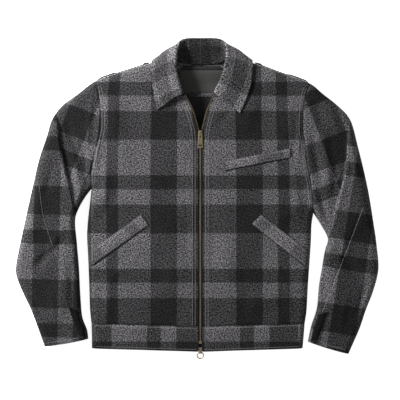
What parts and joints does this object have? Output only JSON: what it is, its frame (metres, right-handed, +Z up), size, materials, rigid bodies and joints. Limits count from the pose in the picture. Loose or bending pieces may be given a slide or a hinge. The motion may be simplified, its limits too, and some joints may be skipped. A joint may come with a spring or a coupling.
{
  "type": "mackinaw jacket laid flat",
  "caption": "Short wool plaid work jacket laid flat and zipped, with a pointed collar, set-in sleeves, slanted welt pockets, a waistband and a brass two-way zip.",
  "frame": {"origin": "on the surface that the jacket lies on, near the middle of the back", "axes": "+X toward the wearer's left, +Y toward the collar, +Z up from the surface"},
  "size_m": [0.8325, 0.7387, 0.0395],
  "materials": {
    "wool": "napped grey and black plaid wool",
    "dark_wool": "napped dark wool",
    "lining": "smooth black lining",
    "label": "woven satin, bare",
    "tape": "woven black tape",
    "brass": "aged, dull"
  },
  "bodies": {
    "garment": {"back": "wool", "front_right": "wool", "front_left": "wool", "sleeve_top_right": "wool", "sleeve_under_right": "wool", "sleeve_top_left": "wool", "sleeve_under_left": "wool", "waistband_right": "wool", "waistband_left": "wool", "waistband_back": "wool", "collar": "wool", "collar_stand": "wool", "chest_welt": "wool", "hand_welt_right": "wool", "hand_welt_left": "wool", "cuff_strip_right": "wool", "cuff_strip_left": "wool", "label_band": "wool", "back_pleat_right": "dark_wool", "back_pleat_left": "dark_wool", "back_lining": "lining", "neck_binding": "lining", "neck_label": "label", "zip_tape_right": "tape", "zip_tape_left": "tape", "top_slider": "brass", "bottom_slider": "brass", "zip_retainer": "brass"},
    "top_pull": {"pull_tab": "brass"},
    "bottom_ring": {"ring_pull": "brass"}
  },
  "joints": [
    {"name": "top_pull_hinge", "type": "hinge", "parent": "garment", "child": "top_pull", "pos_m": [0.0076, 0.1515, 0.02965], "axis": [-1, 0, 0], "range_deg": [0, 150]},
    {"name": "bottom_ring_hinge", "type": "hinge", "parent": "garment", "child": "bottom_ring", "pos_m": [0.0076, -0.3537, 0.02142], "axis": [-1, 0, 0], "range_deg": [0, 150]}
  ]
}
